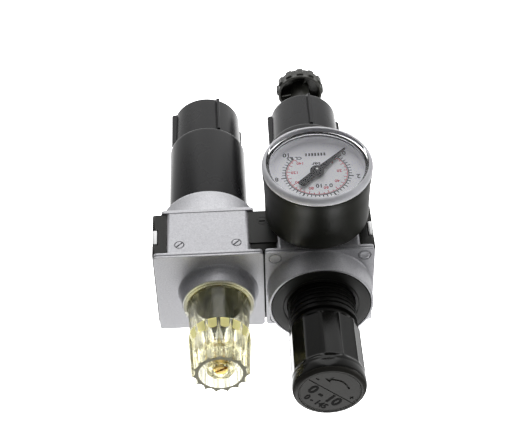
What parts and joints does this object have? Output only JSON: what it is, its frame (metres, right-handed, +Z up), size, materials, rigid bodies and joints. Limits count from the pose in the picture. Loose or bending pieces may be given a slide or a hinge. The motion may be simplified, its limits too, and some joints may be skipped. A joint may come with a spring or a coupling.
{
  "type": "compressed air filter-regulator and lubricator unit",
  "caption": "Two-module compressed-air service unit: filter-regulator with round gauge and fluted knob, coupled to an oil-mist lubricator with a clear sight dome.",
  "frame": {"origin": "centre of the inlet port's mouth, on the left side of the filter-regulator module", "axes": "+Z up along the knob and bowl axes, +X along the air flow from inlet to outlet, -Y towards the gauge's face"},
  "size_m": [0.1008, 0.0837, 0.2101],
  "materials": {
    "casting": "fine silver-grey powder coat on die-cast zinc, satin",
    "black_plastic": "moulded black plastic, semi-gloss",
    "bowl_coat": "dark grey satin coat on metal",
    "gauge_black": "smooth olive-black moulded plastic",
    "steel": "bright zinc-plated steel",
    "brass": "turned brass",
    "rubber": "black nitrile rubber, matt",
    "dial_white": "white printed dial",
    "filter_white": "sintered white polyethylene, porous",
    "dark_plastic": "dark grey moulded plastic, matt",
    "window": "clear plastic window, polished",
    "amber_clear": "transparent plastic with a faint yellow tint, polished"
  },
  "bodies": {
    "housing": {"regulator_body": "casting", "lubricator_body": "casting", "plate_pin_1": "casting", "plate_pin_2": "casting", "plate_pin_3": "casting", "plate_pin_4": "casting", "passage_plug_left": "casting", "passage_plug_right": "casting", "bonnet": "black_plastic", "coupling_block": "black_plastic", "inlet_end_plate": "black_plastic", "outlet_end_plate": "black_plastic", "filter_bowl": "bowl_coat", "oil_bowl": "bowl_coat", "gauge_case": "gauge_black", "regulating_spring": "steel", "valve_spring": "steel", "gauge_link": "steel", "inlet_lug": "steel", "outlet_lug": "steel", "gauge_movement": "brass", "bourdon_tube": "brass", "gauge_socket": "brass", "siphon_strainer": "brass", "diaphragm": "rubber", "filter_bowl_seal": "rubber", "oil_bowl_seal": "rubber", "drain_seal": "rubber", "dome_seal": "rubber", "coupling_seal": "rubber", "flow_flap": "rubber", "gauge_dial": "dial_white", "filter_element": "filter_white", "lock_ring": "dark_plastic", "valve_guide": "dark_plastic", "swirl_deflector": "dark_plastic", "filter_bolt": "dark_plastic", "baffle": "dark_plastic", "drip_insert": "dark_plastic", "clamp_screw": "dark_plastic", "gauge_window": "window", "siphon_tube": "window", "sight_dome": "amber_clear"},
    "spindle": {"adjusting_spindle": "steel"},
    "knob": {"adjusting_knob": "black_plastic", "knob_disc": "black_plastic"},
    "spring_nut": {"spring_nut": "brass"},
    "valve": {"diaphragm_plate": "steel", "valve_stem": "brass"},
    "pointer": {"gauge_pointer": "dark_plastic", "pointer_shaft": "steel"},
    "drain_knob": {"drain_knob": "dark_plastic"},
    "drain_stem": {"drain_stem": "dark_plastic"},
    "drip_screw": {"drip_screw": "brass"}
  },
  "joints": [
    {"name": "spindle_turn", "type": "hinge", "parent": "housing", "child": "spindle", "pos_m": [0.025, 0, 0.05], "axis": [0, 0, 1], "range_deg": [-1440, 0]},
    {"name": "knob_lift", "type": "slide", "parent": "spindle", "child": "knob", "axis": [0, 0, 1], "range_m": [0, 0.003]},
    {"name": "spring_nut_slide", "type": "slide", "parent": "housing", "child": "spring_nut", "axis": [0, 0, 1], "range_m": [-0.005, 0], "deforming": ["regulating_spring"]},
    {"name": "valve_slide", "type": "slide", "parent": "housing", "child": "valve", "axis": [0, 0, 1], "range_m": [-0.0006, 0], "deforming": ["valve_spring", "diaphragm"]},
    {"name": "pointer_turn", "type": "hinge", "parent": "housing", "child": "pointer", "pos_m": [0.025, -0.05, -0.0056], "axis": [0, 1, 0], "range_deg": [0, 270], "stiffness_Nm_per_rad": 0.0002, "springref_deg": -28.65},
    {"name": "drain_turn", "type": "hinge", "parent": "housing", "child": "drain_knob", "pos_m": [0.025, 0, -0.1258], "axis": [0, 0, 1], "range_deg": [0, 360]},
    {"name": "drain_stem_lift", "type": "slide", "parent": "housing", "child": "drain_stem", "axis": [0, 0, 1], "range_m": [-0.0012, 0]},
    {"name": "drip_screw_turn", "type": "hinge", "parent": "housing", "child": "drip_screw", "pos_m": [0.07213, 0, 0.06], "axis": [0, 0, 1], "range_deg": [0, 540]}
  ],
  "couplings": [
    {"joint": "spring_nut_slide", "follows": "spindle_turn", "m_per_rad": 0.000198},
    {"joint": "valve_slide", "follows": "spindle_turn", "m_per_rad": 0.0000238},
    {"joint": "drain_stem_lift", "follows": "drain_turn", "m_per_rad": -0.00019}
  ]
}
